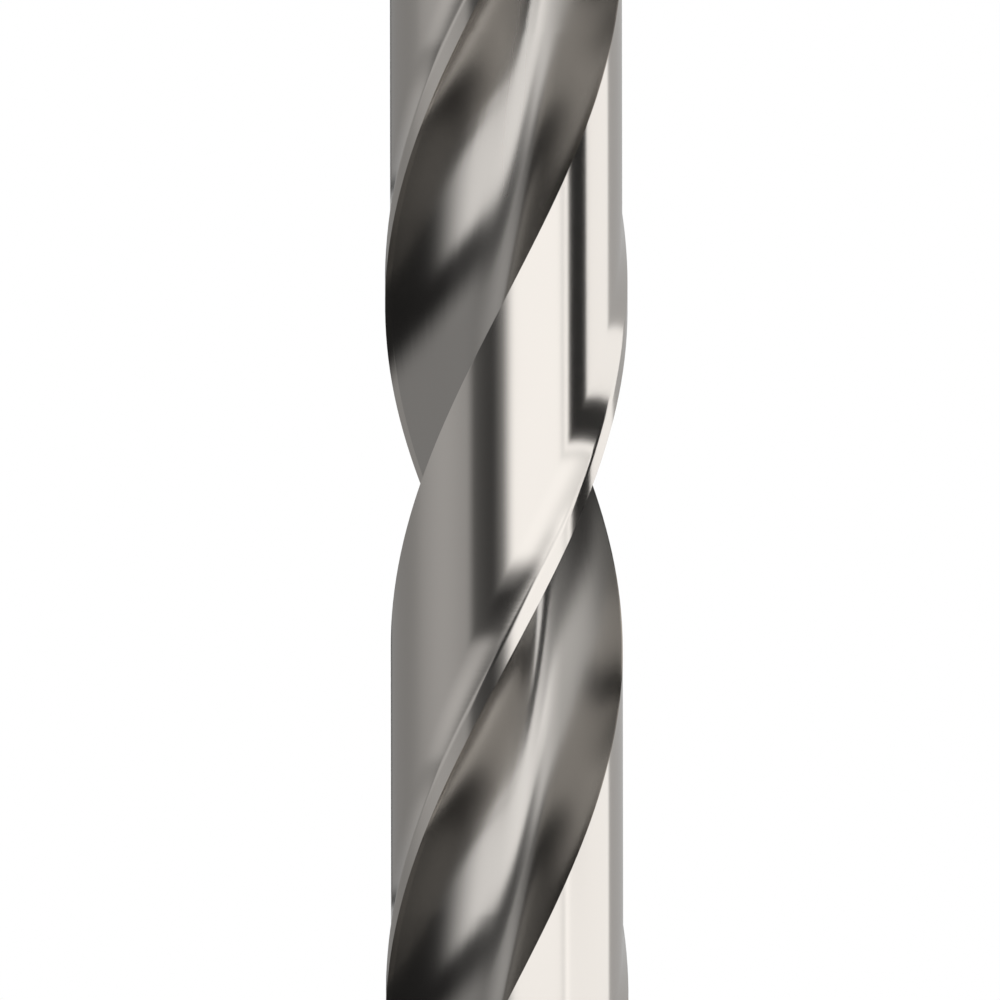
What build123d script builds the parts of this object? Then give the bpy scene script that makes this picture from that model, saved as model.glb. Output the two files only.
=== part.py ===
from build123d import *
from math import radians, degrees, sin, cos, tan, asin, sqrt, pi, ceil
import os

os.makedirs("parts", exist_ok=True)

# Twist drill bit, millimetres. It stands on the end of its shank, point up, axis on Z.

# overall sizes of a 10 mm jobber-length drill
cuttingDia = 10.0
overallLength = 133.0
fluteLength = 87.0
shankDia = 9.95
shankChamfer = 0.5
shankBlend = 2.0
shoulder = 1.0

# helix and flutes
lead = 58.7
webAtPoint = 1.6
webGrowth = 0.0075
fluteOpening = 45.0
wheelRadius = 22.0
wheelClear = 0.855
turnPerSection = 12.0

# body cleared behind the margins, which stay as raised strips beside the cutting edges
clearanceRatio = 0.957
marginAngle = 7.5
stepAngle = 16.5
stepMiddle = (0.50, 0.27)
clearanceRunOut = 4.0
clearanceArc = 0.25

# ground point
pointAngle = 118.0
coneHalfAngle = 25.0
coneDistance = 12.4
coneOffset = 1.95

# how far the cutting tools reach past the blank
toolOver = 1.7
stripOver = 0.6
stripDepth = 0.5
stripFront = 6.0
footTurn = 2.0
footSink = 0.04
lowerReach = 0.6
upperReach = 1.5
stockOver = 2.0
stockBelow = 5.0
stockHeight = 14.0
coneLength = 40.0

cutR = cuttingDia / 2
shankR = shankDia / 2
halfWeb = webAtPoint / 2
halfPoint = radians(pointAngle / 2)
clearR = cutR * clearanceRatio
outerR = cutR + toolOver
stripOuterR = cutR + stripOver
stripRootR = clearR - stripDepth
fluteEnd = overallLength - fluteLength

# grinding cone of one lip: apex and axis, taken from the height of the outer corner
coneTilt = halfPoint - radians(coneHalfAngle)
lipHeight = sqrt(cutR**2 - halfWeb**2) / tan(halfPoint)
apexX = -coneDistance * sin(halfPoint)
apexZ = lipHeight + coneDistance * cos(halfPoint)
coneAxis = (sin(coneTilt), 0, -cos(coneTilt))

# height of the tip over the outer corners, where both cones meet the drill axis
px = -apexX
side = px**2 + coneOffset**2
cosSq = cos(radians(coneHalfAngle)) ** 2
qa = coneAxis[2] ** 2 - cosSq
qb = 2 * px * coneAxis[0] * coneAxis[2]
qc = (px * coneAxis[0]) ** 2 - cosSq * side
roots = [(-qb + sign * sqrt(qb**2 - 4 * qa * qc)) / (2 * qa) for sign in (1, -1)]
tipHeight = max(roots) + apexZ
cornerZ = overallLength - tipHeight
print("tip above the corners", round(tipHeight, 3), "corner height", round(cornerZ, 3))


def polar(r, angle):
    return (r * cos(angle), r * sin(angle))


def faceAngle(r):
    # the rake face is the helicoid that leaves a straight cutting lip
    rise = (sqrt(cutR**2 - halfWeb**2) - sqrt(r**2 - halfWeb**2)) / tan(halfPoint)
    return asin(halfWeb / r) - asin(halfWeb / cutR) - 2 * pi * rise / lead


# flute section with its cutting edge on +X: the rake face runs in, the hollow back runs out
facePoints = [polar(r, faceAngle(r)) for r in (outerR, 5.8, cutR, 4.2, 3.4, 2.6, 1.9, 1.35, 1.0)]
backPoints = [(0.40, 0.70), (0.04, 0.97), (-0.24, 1.36), (-0.41, 1.90), (-0.48, 2.60)]
backPoints += [(-0.43, 3.40), (-0.26, 4.15), (0.0, clearR), (0.74, 6.66)]


def webShift(z):
    return webGrowth * max(cornerZ - z, 0)


# the wheel lifts out of the flute along an arc, and is clear of the blank at the flute end
clearLift = cutR * wheelClear - webShift(fluteEnd)
runOut = sqrt(2 * wheelRadius * clearLift - clearLift**2)
clearStart = fluteEnd + runOut + shoulder
print("run-out length", round(runOut, 2))


def wheelLift(z):
    depth = max(fluteEnd + runOut - z, 0)
    return wheelRadius - sqrt(wheelRadius**2 - depth**2)


def place(z, turn):
    return Location((0, 0, z), (0, 0, turn))


def fluteSection(z):
    opening = radians(fluteOpening)
    drift = degrees(asin(webShift(z) * sin(opening) / cutR))
    shift = webShift(z) + wheelLift(z)
    out = Location((shift * cos(opening), shift * sin(opening), 0))
    outline = Spline(*facePoints, backPoints[0]) + Spline(*backPoints)
    outline += Line(backPoints[-1], facePoints[0])
    turn = 360 * (z - cornerZ) / lead - drift
    return place(z, turn) * out * make_face(outline)


def marginSection(z):
    # strip from inside the flute to the foot of the hollow step behind the margin
    step = cutR - clearR
    frontAngle = radians(stripFront)
    topAngle = -radians(marginAngle)
    footAngle = -radians(marginAngle + stepAngle)
    top = polar(cutR, topAngle)
    along, up = stepMiddle
    midStep = polar(clearR + up * step, footAngle + radians(along * stepAngle))
    foot = polar(clearR - footSink, footAngle - radians(footTurn))
    outer = [polar(stripOuterR, a) for a in (frontAngle, (frontAngle + topAngle) / 2, topAngle)]
    root = [polar(stripRootR, a) for a in (footAngle, frontAngle)]
    outline = ThreePointArc(*outer) + Line(outer[2], top) + ThreePointArc(top, midStep, foot)
    outline += Polyline(foot, *root) + Line(root[1], outer[0])
    return place(z, 360 * (z - cornerZ) / lead) * make_face(outline)


def stations(start, end):
    count = ceil((end - start) / (lead * turnPerSection / 360))
    return [start + (end - start) * i / count for i in range(count + 1)]


# core: chamfered shank, then the body, cleared from where the flutes reach full depth
profile = Polyline(
    (clearR, clearStart + clearanceRunOut),
    (clearR, overallLength),
    (0, overallLength),
    (0, 0),
    (shankR - shankChamfer, 0),
    (shankR, shankChamfer),
    (shankR, fluteEnd - shankBlend - shoulder),
    (cutR, fluteEnd - shoulder),
    (cutR, clearStart),
)
arcMid = (clearR + clearanceArc * (cutR - clearR), clearStart + clearanceRunOut / 2)
profile += ThreePointArc((cutR, clearStart), arcMid, (clearR, clearStart + clearanceRunOut))
drill = revolve(Plane.XZ * make_face(profile), Axis.Z)

marginPath = stations(clearStart - shoulder, overallLength + upperReach)
marginTool = loft([marginSection(z) for z in marginPath])
barStart = clearStart - shoulder / 2
marginBar = Pos(0, 0, barStart) * Cylinder(
    cutR, overallLength - barStart, align=(Align.CENTER, Align.CENTER, Align.MIN)
)
margin = marginBar & marginTool
print("margin", margin.is_valid, round(margin.volume, 1))

flutePath = stations(fluteEnd + runOut, overallLength + upperReach)
liftPath = stations(fluteEnd - lowerReach, fluteEnd + runOut)
fluteTool = loft([fluteSection(z) for z in liftPath[:-1] + flutePath])
print("flute tool", fluteTool.is_valid, round(fluteTool.volume, 1))
margin = margin - fluteTool
print("margin fluted", margin.is_valid, round(margin.volume, 1), len(margin.solids()))
for turn in (0, 180):
    drill -= Rot(0, 0, turn) * fluteTool
    print("fluted", round(drill.volume, 1))
for turn in (0, 180):
    drill += Rot(0, 0, turn) * margin
    print("with margin", round(drill.volume, 1))

# each flank is what the grinding cone leaves of the stock above the point
stock = Pos(0, 0, cornerZ - stockBelow) * Cylinder(
    cutR + stockOver, stockHeight, align=(Align.CENTER, Align.CENTER, Align.MIN)
)
coneBase = coneLength * tan(radians(coneHalfAngle))
coneUp = (-coneAxis[0], 0, -coneAxis[2])
apex = (apexX, coneOffset, apexZ + cornerZ)
coneFrame = Plane(origin=apex, x_dir=(0, 1, 0), z_dir=coneUp)
grinding = coneFrame * Cone(coneBase, 0, coneLength, align=(Align.CENTER, Align.CENTER, Align.MAX))
flankTool = stock - grinding
for turn in (0, 180):
    drill -= Rot(0, 0, turn) * flankTool
    print("ground", round(drill.volume, 1))

box = drill.bounding_box()
print("solids", len(drill.solids()), "valid", drill.is_valid, "volume", round(drill.volume, 1))
print("box", box.min, box.max)
export_step(drill.solids()[0], "parts/twist_drill.step")
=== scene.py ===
import bpy
import bmesh
import numpy as np
from math import radians, sin, cos, tan, asin, atan2, sqrt, pi, ceil
from mathutils import Vector, Matrix


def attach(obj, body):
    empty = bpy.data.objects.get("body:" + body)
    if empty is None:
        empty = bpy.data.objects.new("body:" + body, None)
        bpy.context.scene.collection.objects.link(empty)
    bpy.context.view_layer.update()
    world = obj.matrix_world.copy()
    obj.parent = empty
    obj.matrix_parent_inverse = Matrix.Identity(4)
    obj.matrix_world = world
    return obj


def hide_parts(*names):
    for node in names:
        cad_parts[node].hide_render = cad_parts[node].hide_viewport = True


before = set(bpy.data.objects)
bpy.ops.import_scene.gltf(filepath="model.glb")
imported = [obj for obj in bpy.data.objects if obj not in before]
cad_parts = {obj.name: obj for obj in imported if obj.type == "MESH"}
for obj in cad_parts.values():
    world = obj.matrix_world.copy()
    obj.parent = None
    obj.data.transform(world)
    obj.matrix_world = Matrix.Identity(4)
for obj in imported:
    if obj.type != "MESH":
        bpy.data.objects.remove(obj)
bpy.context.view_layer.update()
mm = 0.001  # every size below is in millimetres until it meets a mesh

drill = {
    "cuttingDia": 10.0,
    "overallLength": 133.0,
    "fluteLength": 87.0,
    "shankDia": 9.95,
    "shankChamfer": 0.5,
    "shankBlend": 2.0,
    "shoulder": 1.0,  # plain length below the flutes' end, and above the arc of the wheel
    "lead": 58.7,
    "halfWeb": 0.8,
    "webGrowth": 0.0075,
    "fluteOpening": 45.0,
    "wheelRadius": 22.0,
    "wheelClear": 0.855,  # how far the wheel lifts, web growth included, as a share of the radius
    "clearanceRatio": 0.957,
    "marginAngle": 7.5,
    "stepAngle": 16.5,
    "edgeAngle": 20.0,  # the bar keeps its full radius this far ahead of a cutting edge
    "clearanceRunOut": 4.0,
    "halfPoint": 59.0,
    "coneHalfAngle": 25.0,
    "coneDistance": 12.4,
    "coneOffset": 1.95,
    "pointDepth": 3.0,  # the ground faces end within this depth below the outer corners
    "pointSlope": 0.48,  # they look up more than this, the walls of the flutes less
    "barOver": 1.0,  # how far the bar and the cutting tools reach past the drill
    "cutterOver": 1.0,
    "cutterUnder": 0.6,
    "stockOver": 2.0,
    "stockRaise": 2.0,
    "stockHeight": 14.0,
    "coneLength": 40.0,
    "roundSteps": 360,  # points round the bar
    "wallSteps": 110,  # points along a flute's wall
    "ringSpacing": 0.5,
    "runRings": 10,  # rings where the clearance of the body begins
    "straightRings": 4,  # rings of a flute cutter above the arc of the wheel
    "stockSteps": 64,
    "coneSteps": 720,
    "smoothAngle": 22.0,
}

cutR = drill["cuttingDia"] / 2
clearR = cutR * drill["clearanceRatio"]
halfWeb = drill["halfWeb"]
halfPoint = radians(drill["halfPoint"])
fluteEnd = drill["overallLength"] - drill["fluteLength"]
bodyStart = fluteEnd - drill["shoulder"]
lead = drill["lead"]


def coneTop():
    # height of the tip over the outer corners, where the grinding cone crosses the drill axis
    half = radians(drill["coneHalfAngle"])
    tilt = halfPoint - half
    apexX = -drill["coneDistance"] * sin(halfPoint)
    apexZ = sqrt(cutR**2 - halfWeb**2) / tan(halfPoint) + drill["coneDistance"] * cos(halfPoint)
    side = apexX**2 + drill["coneOffset"] ** 2
    qa = cos(tilt) ** 2 - cos(half) ** 2
    qb = 2 * apexX * sin(tilt) * cos(tilt)
    qc = (apexX * sin(tilt)) ** 2 - cos(half) ** 2 * side
    drop = max((-qb + sign * sqrt(qb**2 - 4 * qa * qc)) / (2 * qa) for sign in (1, -1))
    return apexX, apexZ, tilt, drop + apexZ


apexX, apexZ, coneTilt, tipHeight = coneTop()
cornerZ = drill["overallLength"] - tipHeight
barTop = drill["overallLength"] + drill["barOver"]
webAtEnd = drill["webGrowth"] * (cornerZ - fluteEnd)
clearLift = cutR * drill["wheelClear"] - webAtEnd
runOut = sqrt(2 * drill["wheelRadius"] * clearLift - clearLift**2)
fullDepth = fluteEnd + runOut  # height from which the flutes have their full depth
clearStart = fullDepth + drill["shoulder"]
print("corner height", round(cornerZ, 3), "run-out", round(runOut, 2))


def polar(r, angle):
    return (r * cos(angle), r * sin(angle))


def faceAngle(r):
    # the rake face is the helicoid that leaves a straight cutting lip
    rise = (sqrt(cutR**2 - halfWeb**2) - sqrt(r**2 - halfWeb**2)) / tan(halfPoint)
    return asin(halfWeb / r) - asin(halfWeb / cutR) - 2 * pi * rise / lead


def throughPoints(points, count):
    # even steps of length and turning along a smooth curve through the points
    fineSteps = 4000
    turnWeight = 1.3  # a radian of turning counts as much as this length
    p = np.array(points, float)
    t = np.concatenate([[0], np.cumsum(np.linalg.norm(np.diff(p, axis=0), axis=1))])
    n = len(t)
    h = np.diff(t)
    a = np.eye(n)
    b = np.zeros((n, 2))
    for i in range(1, n - 1):
        a[i, i - 1 : i + 2] = (h[i - 1], 2 * (h[i - 1] + h[i]), h[i])
        b[i] = 6 * ((p[i + 1] - p[i]) / h[i] - (p[i] - p[i - 1]) / h[i - 1])
    bend = np.linalg.solve(a, b)
    fine = np.linspace(0, t[-1], fineSteps)
    k = np.clip(np.searchsorted(t, fine, side="right") - 1, 0, n - 2)
    u = (fine - t[k])[:, None]
    w = (t[k + 1] - fine)[:, None]
    hk = h[k][:, None]
    curve = (bend[k] * w**3 + bend[k + 1] * u**3) / (6 * hk)
    curve += (p[k] / hk - bend[k] * hk / 6) * w + (p[k + 1] / hk - bend[k + 1] * hk / 6) * u
    step = np.diff(curve, axis=0)
    heading = np.unwrap(np.arctan2(step[:, 1], step[:, 0]))
    turn = np.abs(np.diff(heading, prepend=heading[0]))
    pace = np.linalg.norm(step, axis=1) + turnWeight * turn
    run = np.concatenate([[0], np.cumsum(pace)])
    at = np.linspace(0, run[-1], count)
    return [(np.interp(s, run, curve[:, 0]), np.interp(s, run, curve[:, 1])) for s in at]


# flute section with its cutting edge on +X: the rake face runs in, the hollow back runs out
facePoints = [polar(r, faceAngle(r)) for r in (6.7, 5.8, cutR, 4.2, 3.4, 2.6, 1.9, 1.35, 1.0)]
backPoints = [(0.40, 0.70), (0.04, 0.97), (-0.24, 1.36), (-0.41, 1.90), (-0.48, 2.60)]
backPoints += [(-0.43, 3.40), (-0.26, 4.15), (0.0, clearR), (0.74, 6.66)]


def landRadius(behind, z):
    # radius of the bar at an angle behind the cutting edge, before the flutes are cut
    margin = radians(drill["marginAngle"])
    step = radians(drill["stepAngle"])
    depth = max(clearStart + drill["clearanceRunOut"] - z, 0) / drill["clearanceRunOut"]
    low = clearR + (cutR - clearR) * min(depth, 1) ** 2
    if behind <= margin or behind > pi - radians(drill["edgeAngle"]):
        return cutR
    if behind >= margin + step:
        return low
    part = (behind - margin) / step
    return low + (cutR - low) * (1 - part) ** 2


def pick(obj):
    bpy.ops.object.select_all(action="DESELECT")
    obj.select_set(True)
    bpy.context.view_layer.objects.active = obj


def editMode(obj):
    pick(obj)
    bpy.ops.object.mode_set(mode="EDIT")
    bpy.ops.mesh.select_mode(type="VERT")


def objectMode():
    bpy.ops.object.mode_set(mode="OBJECT")


def extrudeTo(obj, height):
    # the selected ring or cap goes straight up to a height
    mesh = bmesh.from_edit_mesh(obj.data)
    now = max(v.co.z for v in mesh.verts if v.select) / mm
    bpy.ops.mesh.extrude_region_move(TRANSFORM_OT_translate={"value": (0, 0, (height - now) * mm)})


def makeBar():
    # straight bar: shank, blend, and the body with its cleared lands, all before twisting
    shankR = drill["shankDia"] / 2
    runRings = drill["runRings"]
    bpy.ops.object.select_all(action="DESELECT")
    bpy.ops.mesh.primitive_circle_add(
        vertices=drill["roundSteps"], radius=(shankR - drill["shankChamfer"]) * mm, fill_type="NGON"
    )
    bar = bpy.context.object
    bar.name = "bar"
    editMode(bar)
    bpy.ops.mesh.select_all(action="SELECT")
    rings = [(drill["shankChamfer"], shankR), (bodyStart - drill["shankBlend"], shankR)]
    rings += [(bodyStart, cutR), (clearStart, cutR)]
    for i in range(1, runRings + 1):
        rings.append((clearStart + drill["clearanceRunOut"] * i / runRings, cutR))
    rings.append((barTop, cutR))
    for height, radius in rings:
        extrudeTo(bar, height)
        mesh = bmesh.from_edit_mesh(bar.data)
        for v in mesh.verts:
            if v.select:
                behind = (-atan2(v.co.y, v.co.x)) % pi
                r = landRadius(behind, height) if height > clearStart else radius
                scale = r * mm / v.co.xy.length
                v.co.x *= scale
                v.co.y *= scale
    objectMode()
    print("bar", len(bar.data.vertices))
    return bar


def makeCutter():
    # the flute wheel's straight sweep, lifting out along its arc at the shank end
    outline = throughPoints(facePoints + backPoints, drill["wallSteps"])
    bpy.ops.object.select_all(action="DESELECT")
    bpy.ops.mesh.primitive_circle_add(vertices=len(outline), radius=mm, fill_type="NGON")
    cutter = bpy.context.object
    cutter.name = "fluteCutter"
    opening = radians(drill["fluteOpening"])
    along = Vector((cos(opening), sin(opening), 0))

    def placed(z):
        # outline at a height, moved out by web growth and wheel lift, its cutting edge kept on +X
        web = drill["webGrowth"] * max(cornerZ - z, 0)
        depth = max(fullDepth - z, 0)
        lift = drill["wheelRadius"] - sqrt(drill["wheelRadius"] ** 2 - depth**2)
        drift = Matrix.Rotation(-asin(web * sin(opening) / cutR), 3, "Z")
        spots = [drift @ (Vector((x, y, 0)) + along * (web + lift)) for x, y in outline]
        return [(spot.x * mm, spot.y * mm, z * mm) for spot in spots]

    bottom = fluteEnd - drill["cutterUnder"]
    liftRings = ceil((fullDepth - bottom) / drill["ringSpacing"])
    straight = cornerZ - fluteEnd - runOut
    straightRings = drill["straightRings"]
    heights = [bottom + (fullDepth - bottom) * i / liftRings for i in range(1, liftRings + 1)]
    heights += [fullDepth + straight * i / straightRings for i in range(1, straightRings + 1)]
    heights.append(barTop + drill["cutterOver"])
    editMode(cutter)
    mesh = bmesh.from_edit_mesh(cutter.data)
    mesh.verts.ensure_lookup_table()
    for v, spot in zip(mesh.verts, placed(bottom)):
        v.co = spot
    bpy.ops.mesh.select_all(action="SELECT")
    for height in heights:
        extrudeTo(cutter, height)
        mesh = bmesh.from_edit_mesh(cutter.data)
        top = [v for v in mesh.verts if v.select]
        top.sort(key=lambda v: v.index)
        for v, spot in zip(top, placed(height)):
            v.co = spot
    bpy.ops.mesh.select_all(action="SELECT")
    bpy.ops.mesh.normals_make_consistent(inside=False)
    objectMode()
    print("flute cutter", len(cutter.data.vertices))
    return cutter


def subtract(obj, tool):
    pick(obj)
    cut = obj.modifiers.new("cut", "BOOLEAN")
    cut.operation = "DIFFERENCE"
    cut.object = tool
    cut.solver = "EXACT"
    bpy.ops.object.modifier_apply(modifier="cut")


def turnedCopy(obj, angle):
    # same tool on the other side, its turn applied to its mesh
    other = obj.copy()
    other.data = obj.data.copy()
    bpy.context.collection.objects.link(other)
    other.data.transform(Matrix.Rotation(angle, 4, "Z"))
    return other


def subtractBothSides(bar, tool):
    for side in (tool, turnedCopy(tool, pi)):
        subtract(bar, side)
        bpy.data.objects.remove(side)


def sliceRings(bar):
    # level cuts give the straight bar the rings that the twist needs
    editMode(bar)
    count = ceil((barTop - bodyStart) / drill["ringSpacing"])
    for i in range(1, count):
        z = (bodyStart + (barTop - bodyStart) * i / count) * mm
        bpy.ops.mesh.select_all(action="SELECT")
        bpy.ops.mesh.bisect(plane_co=(0, 0, z), plane_no=(0, 0, 1))
    objectMode()


def twist(bar):
    # one turn in each lead, turned back so that the cutting edges end on X at the outer corners
    pick(bar)
    turn = bar.modifiers.new("twist", "SIMPLE_DEFORM")
    turn.deform_method = "TWIST"
    turn.deform_axis = "Z"
    turn.limits = (bodyStart / barTop, 1)
    turn.angle = 2 * pi * (barTop - bodyStart) / lead
    bpy.ops.object.modifier_apply(modifier="twist")
    bar.data.transform(Matrix.Rotation(-2 * pi * cornerZ / lead, 4, "Z"))


def makeFlankTool():
    # stock over the point, less the grinding cone
    bpy.ops.object.select_all(action="DESELECT")
    bpy.ops.mesh.primitive_cylinder_add(
        vertices=drill["stockSteps"],
        radius=(cutR + drill["stockOver"]) * mm,
        depth=drill["stockHeight"] * mm,
        location=(0, 0, (cornerZ + drill["stockRaise"]) * mm),
    )
    stock = bpy.context.object
    bpy.ops.object.transform_apply(location=True, rotation=True, scale=True)
    length = drill["coneLength"]
    base = length * tan(radians(drill["coneHalfAngle"]))
    down = Vector((sin(coneTilt), 0, -cos(coneTilt)))
    apex = Vector((apexX, drill["coneOffset"], apexZ + cornerZ))
    bpy.ops.mesh.primitive_cone_add(
        vertices=drill["coneSteps"],
        radius1=base * mm,
        radius2=0,
        depth=length * mm,
        location=(apex + down * length / 2) * mm,
        rotation=(-down).to_track_quat("Z", "Y").to_euler(),
    )
    cone = bpy.context.object
    bpy.ops.object.transform_apply(location=True, rotation=True, scale=True)
    subtract(stock, cone)
    bpy.data.objects.remove(cone)
    stock.name = "flankTool"
    return stock


def makeDrill():
    bar = makeBar()
    subtractBothSides(bar, makeCutter())
    print("flutes cut", len(bar.data.vertices))
    sliceRings(bar)
    twist(bar)
    print("twisted", len(bar.data.vertices))
    subtractBothSides(bar, makeFlankTool())
    pick(bar)
    bpy.ops.object.shade_smooth_by_angle(angle=radians(drill["smoothAngle"]))
    bar.name = "twistDrill"
    triangles = sum(len(face.vertices) - 2 for face in bar.data.polygons)
    print("point ground", len(bar.data.vertices), "triangles", triangles)
    return bar


def markPoint(bar):
    # faces of the ground point look up more than any flute wall; a mark gives them their own finish
    marked = bar.data.attributes.new("groundPoint", "FLOAT", "FACE")
    lowest = cornerZ - drill["pointDepth"]
    for face in bar.data.polygons:
        onPoint = face.center.z / mm > lowest and face.normal.z > drill["pointSlope"]
        marked.data[face.index].value = float(onPoint)


steelLook = {
    "landColour": (0.62, 0.588, 0.552, 1),
    # painted shade: the flutes are given a darker colour than the lands
    "shadedFluteColour": (0.50, 0.478, 0.452, 1),
    "shadedBackColour": (0.29, 0.277, 0.26, 1),  # painted shade: the hollow back of a flute is given a darker colour than its face
    "pointColour": (0.58, 0.555, 0.525, 1),  # freshly ground, brighter than the flutes
    "landRoughness": 0.15,
    "fluteRoughness": 0.19,
    "rootRoughness": 0.28,  # the wheel's worn corner leaves the root of a flute rougher
    "backRoughness": 0.25,
    "pointRoughness": 0.23,
    "landStart": 4.71,  # lands stand outside this radius, the flutes inside
    "landFull": 4.76,
    "rootRadius": 1.9,
    "backStart": 1.1,
    "backFull": 2.4,
    "wheelLines": 0.35,  # depth of the lines that the flute wheel leaves
    "wheelScale": (2600, 2600, 45),  # long along the flute
    "turnedLines": 0.12,
    "turnedScale": (120, 120, 6500),  # long round the bar
    "pointLines": 0.5,
    "pointScale": (5200, 1, 1),  # fine away from the axis, so the lines run round it
    "lineStrength": 0.5,
    "lineDepth": 0.01,
    "cloudDepth": 0.08,  # how far the roughness wanders
    "cloudScale": (160, 160, 90),
}


def feed(tree, slot, value):
    # a slot takes a link or a plain value
    if hasattr(value, "is_linked"):
        tree.links.new(value, slot)
    else:
        slot.default_value = value


def mathsNode(tree, operation, *values):
    node = tree.nodes.new("ShaderNodeMath")
    node.operation = operation
    for slot, value in zip(node.inputs, values):
        feed(tree, slot, value)
    return node.outputs[0]


def fadeNode(tree, value, start, full):
    # nothing at the first value, everything at the second, a soft run between them
    node = tree.nodes.new("ShaderNodeMapRange")
    node.interpolation_type = "SMOOTHSTEP"
    node.inputs["From Min"].default_value = start
    node.inputs["From Max"].default_value = full
    tree.links.new(value, node.inputs["Value"])
    return node.outputs["Result"]


def groundSteel():
    steel = bpy.data.materials.new("groundSteel")
    steel.use_nodes = True
    tree = steel.node_tree
    shader = tree.nodes["Principled BSDF"]
    shader.inputs["Metallic"].default_value = 1.0

    def add(kind, **settings):
        node = tree.nodes.new("ShaderNode" + kind)
        for name, value in settings.items():
            setattr(node, name, value)
        return node

    def maths(operation, *values):
        return mathsNode(tree, operation, *values)

    def streaks(vector, scale, detail=3, roughness=0.6):
        # noise drawn out along an axis by its scale
        stretch = add("Mapping")
        stretch.inputs["Scale"].default_value = scale
        tree.links.new(vector, stretch.inputs["Vector"])
        noise = add("TexNoise")
        noise.inputs["Scale"].default_value = 1
        noise.inputs["Detail"].default_value = detail
        noise.inputs["Roughness"].default_value = roughness
        tree.links.new(stretch.outputs[0], noise.inputs["Vector"])
        return noise.outputs["Fac"]

    def blend(low, high, factor):
        node = add("Mix", data_type="FLOAT")
        tree.links.new(factor, node.inputs["Factor"])
        feed(tree, node.inputs["A"], low)
        feed(tree, node.inputs["B"], high)
        return node.outputs[0]

    def tint(low, high, factor):
        # the colour slots are called A and B too, so they are taken by number
        node = add("Mix", data_type="RGBA")
        tree.links.new(factor, node.inputs["Factor"])
        feed(tree, node.inputs[6], low)
        feed(tree, node.inputs[7], high)
        return node.outputs[2]

    spot = add("TexCoord").outputs["Object"]
    split = add("SeparateXYZ")
    tree.links.new(spot, split.inputs[0])
    x, y, z = split.outputs
    radius = maths("SQRT", maths("ADD", maths("MULTIPLY", x, x), maths("MULTIPLY", y, y)))
    outward = add("CombineXYZ")
    tree.links.new(radius, outward.inputs[0])

    # turned back along the helix, the flutes run straight up
    untwist = add("VectorRotate", rotation_type="Z_AXIS")
    tree.links.new(spot, untwist.inputs["Vector"])
    below = maths("SUBTRACT", cornerZ * mm, z)
    tree.links.new(maths("MULTIPLY", below, 2 * pi / (lead * mm)), untwist.inputs["Angle"])
    across = add("SeparateXYZ")
    tree.links.new(untwist.outputs[0], across.inputs[0])
    aside = maths("ABSOLUTE", across.outputs[1])

    land = fadeNode(tree, radius, steelLook["landStart"] * mm, steelLook["landFull"] * mm)
    root = fadeNode(tree, radius, steelLook["rootRadius"] * mm, halfWeb * mm)
    # the hollow back of each flute: rougher, and darker in colour as painted shade
    back = fadeNode(tree, aside, steelLook["backStart"] * mm, steelLook["backFull"] * mm)
    point = add("Attribute", attribute_name="groundPoint").outputs["Fac"]

    wheel = streaks(untwist.outputs[0], steelLook["wheelScale"], detail=4)
    turned = streaks(spot, steelLook["turnedScale"])
    swung = streaks(outward.outputs[0], steelLook["pointScale"])
    cloud = streaks(spot, steelLook["cloudScale"], roughness=0.5)

    height = blend(
        maths("MULTIPLY", wheel, steelLook["wheelLines"]),
        maths("MULTIPLY", turned, steelLook["turnedLines"]),
        land,
    )
    height = blend(height, maths("MULTIPLY", swung, steelLook["pointLines"]), point)
    bump = add("Bump")
    bump.inputs["Strength"].default_value = steelLook["lineStrength"]
    bump.inputs["Distance"].default_value = steelLook["lineDepth"] * mm
    tree.links.new(height, bump.inputs["Height"])
    tree.links.new(bump.outputs[0], shader.inputs["Normal"])

    face = blend(steelLook["fluteRoughness"], steelLook["rootRoughness"], root)
    hollow = blend(face, steelLook["backRoughness"], back)
    even = blend(blend(hollow, steelLook["landRoughness"], land), steelLook["pointRoughness"], point)
    uneven = maths("MULTIPLY", maths("SUBTRACT", cloud, 0.5), steelLook["cloudDepth"])
    tree.links.new(maths("ADD", even, uneven), shader.inputs["Roughness"])

    # painted shade: the flutes, and their hollow backs more, take darker colours than the lands
    colour = tint(steelLook["shadedFluteColour"], steelLook["shadedBackColour"], back)
    colour = tint(colour, steelLook["landColour"], land)
    colour = tint(colour, steelLook["pointColour"], point)
    tree.links.new(colour, shader.inputs["Base Color"])
    print("steel", len(tree.nodes), "nodes")
    return steel


twistDrill = makeDrill()
markPoint(twistDrill)
twistDrill.data.materials.clear()
twistDrill.data.materials.append(groundSteel())
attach(twistDrill, "root")
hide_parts("twist_drill")

studio = {
    "viewHeight": 93.18,  # height on the drill that the camera looks at
    "distance": 900.0,
    "frameSize": 1000,  # width of the frame in pixels
    "pixelsPerMm": 24.26,
    "axisPixel": 506.55,  # column of the frame in which the drill's axis stands
    "roll": 0.0745,
    "sensorWidth": 36,
    "nearest": 50.0,
    "farthest": 20000.0,
    "floorSize": 6000.0,
    "floorColour": (0.92, 0.92, 0.91, 1),
    "floorRoughness": 0.8,
}


def makeCamera():
    frameWidth = studio["frameSize"] / studio["pixelsPerMm"]
    lens = bpy.data.cameras.new("camera")
    lens.sensor_width = studio["sensorWidth"]
    lens.lens = studio["sensorWidth"] * studio["distance"] / frameWidth
    lens.clip_start = studio["nearest"] * mm
    lens.clip_end = studio["farthest"] * mm
    camera = bpy.data.objects.new("camera", lens)
    bpy.context.collection.objects.link(camera)
    aside = (studio["frameSize"] / 2 - studio["axisPixel"]) / studio["pixelsPerMm"]
    camera.location = (aside * mm, -studio["distance"] * mm, studio["viewHeight"] * mm)
    camera.rotation_euler = (radians(90), radians(studio["roll"]), 0)
    bpy.context.scene.camera = camera
    print("camera lens", round(lens.lens))


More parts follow.
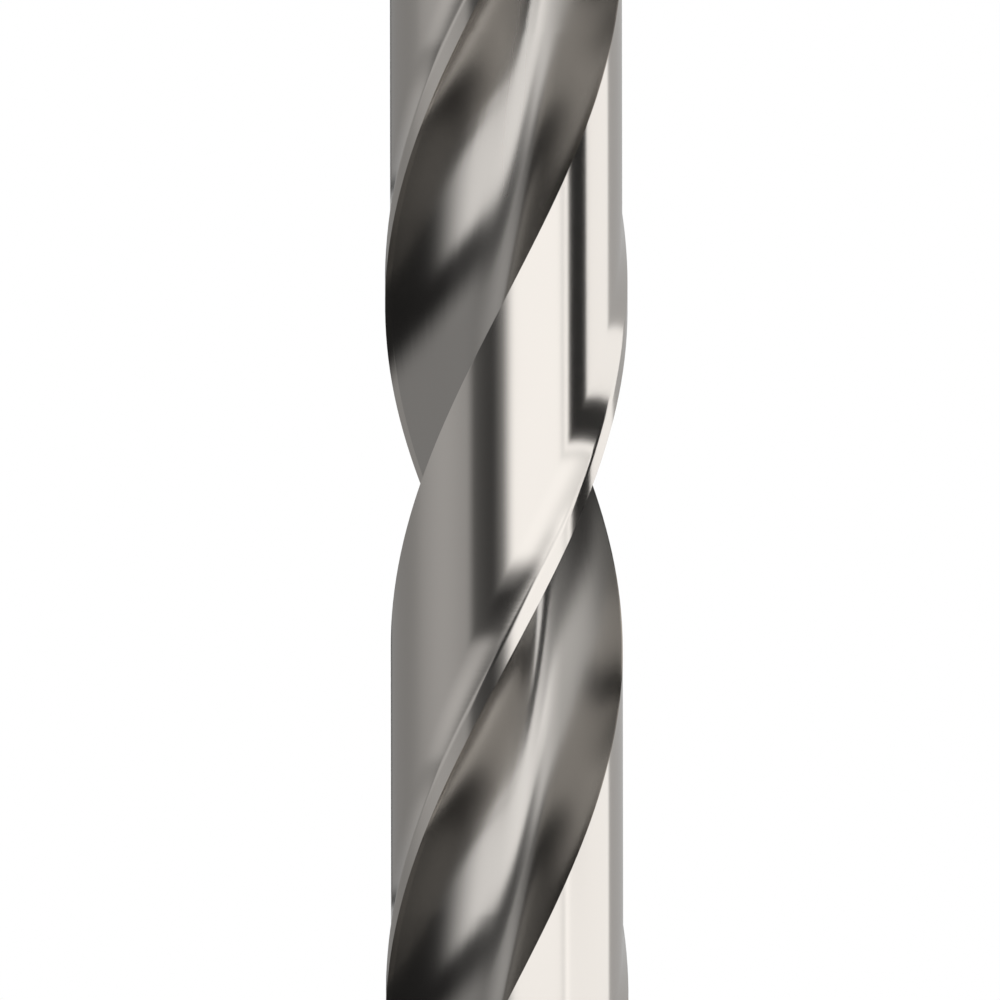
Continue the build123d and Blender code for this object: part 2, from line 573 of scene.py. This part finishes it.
def plainPaint(name, colour, roughness):
    paint = bpy.data.materials.new(name)
    paint.use_nodes = True
    shader = paint.node_tree.nodes["Principled BSDF"]
    shader.inputs["Base Color"].default_value = colour
    shader.inputs["Roughness"].default_value = roughness
    return paint


def makeFloor():
    bpy.ops.object.select_all(action="DESELECT")
    bpy.ops.mesh.primitive_plane_add(size=studio["floorSize"] * mm, location=(0, 0, 0))
    floor = bpy.context.object
    floor.name = "floor"
    floor.data.materials.append(plainPaint("paleFloor", studio["floorColour"], studio["floorRoughness"]))
    floor.visible_glossy = False


# each soft light as the steel sees it, in degrees: azimuth from the camera side toward the right,
# half width, soft edge, height over the horizon, half height, soft edge, and then its strength
softLights = {
    "keyPanel": (31, 29, 14, -5, 21, 20, 1.25),
    "keyStrip": (25, 33, 12, 4, 6, 6, 0.25),
    "rightPanel": (91, 31, 5, 5, 28, 20, 1.35),
    "overFront": (-3, 33, 24, 30, 14, 6, 1.4),
    "rightFill": (46, 26, 12, 22, 10, 8, 0.4),
    "frontFill": (-66, 31, 8, 12, 9, 8, 0.17),
    "gapFill": (-18, 22, 12, -12, 14, 8, 0.045),
    "leftPanel": (-69, 41, 24, -37, 30, 10, 0.33),
    "leftStrip": (-100, 64, 10, 3, 8, 6, 0.28),
    "leftGlow": (-66, 27, 54, 3, 8, 6, 0.18),
    "leftRear": (-146, 34, 24, 20, 14, 12, 0.27),
    "backPanel": (155, 34, 8, 6, 40, 16, 0.5),
    "ceiling": (0, 180, 1, 76, 20, 12, 0.55),
    "floorGlow": (0, 180, 1, -82, 14, 6, 0.25),
}
room = {
    "daylight": 1.0,
    "shadows": 0.02,
    "flagAzimuth": 73.5,
    "flagDistance": 70.0,
    "flagWidth": 27.0,
    "flagBottom": 82.5,
    "flagHeight": 70.0,
    "flagColour": (0.01, 0.01, 0.01, 1),
    "flagRoughness": 0.9,
}


def lightScene():
    # everything but the steel is lit by an even white room; the steel reflects the soft lights
    world = bpy.data.worlds.new("studio")
    bpy.context.scene.world = world
    world.use_nodes = True
    tree = world.node_tree
    background = tree.nodes["Background"]

    def maths(operation, *values):
        return mathsNode(tree, operation, *values)

    def softEdge(value, half, soft):
        return fadeNode(tree, value, half + soft / 2, half - soft / 2)

    split = tree.nodes.new("ShaderNodeSeparateXYZ")
    tree.links.new(tree.nodes.new("ShaderNodeTexCoord").outputs["Generated"], split.inputs[0])
    x, y, z = split.outputs
    azimuth = maths("DEGREES", maths("ARCTAN2", x, maths("MULTIPLY", y, -1)))
    elevation = maths("DEGREES", maths("ARCSINE", z))
    total = room["shadows"]
    for middle, halfWidth, softSide, level, halfHeight, softTop, strength in softLights.values():
        across = maths("ABSOLUTE", maths("WRAP", maths("SUBTRACT", azimuth, middle), 180, -180))
        upward = maths("ABSOLUTE", maths("SUBTRACT", elevation, level))
        inWidth = softEdge(across, halfWidth, softSide)
        inHeight = softEdge(upward, halfHeight, softTop)
        lit = maths("MULTIPLY", inWidth, inHeight)
        total = maths("ADD", maths("MULTIPLY", lit, strength), total)
    path = tree.nodes.new("ShaderNodeLightPath")
    choose = tree.nodes.new("ShaderNodeMix")
    choose.data_type = "FLOAT"
    tree.links.new(path.outputs["Is Glossy Ray"], choose.inputs["Factor"])
    choose.inputs["A"].default_value = room["daylight"]
    tree.links.new(total, choose.inputs["B"])
    tree.links.new(choose.outputs[0], background.inputs["Strength"])
    background.inputs["Color"].default_value = (1, 1, 1, 1)
    print("soft lights", len(softLights))


def makeFlag():
    # a narrow black flag stands close on the right, over the upper land only
    bpy.ops.object.select_all(action="DESELECT")
    turn = radians(room["flagAzimuth"])
    away = room["flagDistance"]
    middle = room["flagBottom"] + room["flagHeight"] / 2
    bpy.ops.mesh.primitive_plane_add(
        size=1,
        location=(away * sin(turn) * mm, -away * cos(turn) * mm, middle * mm),
        rotation=(radians(90), 0, turn),
    )
    flag = bpy.context.object
    flag.name = "flag"
    flag.scale = (room["flagWidth"] * mm, room["flagHeight"] * mm, 1)
    flag.data.materials.append(plainPaint("blackFlag", room["flagColour"], room["flagRoughness"]))
    for seen in ("visible_camera", "visible_diffuse", "visible_shadow"):
        setattr(flag, seen, False)


makeCamera()
makeFloor()
lightScene()
makeFlag()
bpy.context.scene.view_settings.view_transform = "Standard"
